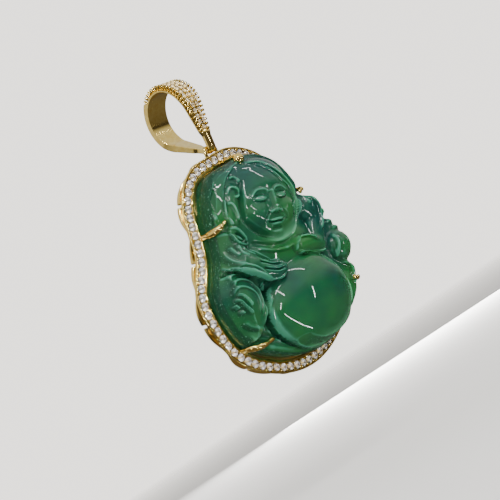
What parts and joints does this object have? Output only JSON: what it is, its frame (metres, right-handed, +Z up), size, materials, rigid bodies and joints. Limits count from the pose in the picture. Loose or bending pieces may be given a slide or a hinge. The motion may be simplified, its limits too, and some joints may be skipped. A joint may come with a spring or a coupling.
{
  "type": "carved figure pendant",
  "caption": "Carved green stone seated-figure pendant in a gem-rimmed gold claw setting, swinging from a stone-set tapered bail.",
  "frame": {"origin": "inside top of the bail, where a chain sits", "axes": "+X to the viewer's right, the carving faces -Y, +Z up, with the pendant at the angle at which it hangs"},
  "size_m": [0.036, 0.0165, 0.0566],
  "materials": {
    "jade": "polished green jade",
    "gold": "polished yellow gold",
    "clear_stone": "faceted clear stone"
  },
  "bodies": {
    "bail": {"bail": "gold", "bail_stones": "clear_stone"},
    "pendant": {"setting": "gold", "jade_buddha": "jade", "rim_stones": "clear_stone"}
  },
  "joints": [
    {"name": "loop_swing", "type": "hinge", "parent": "bail", "child": "pendant", "pos_m": [0, -0.00278, -0.0134], "axis": [1, 0, 0], "range_deg": [-80, 24]}
  ]
}
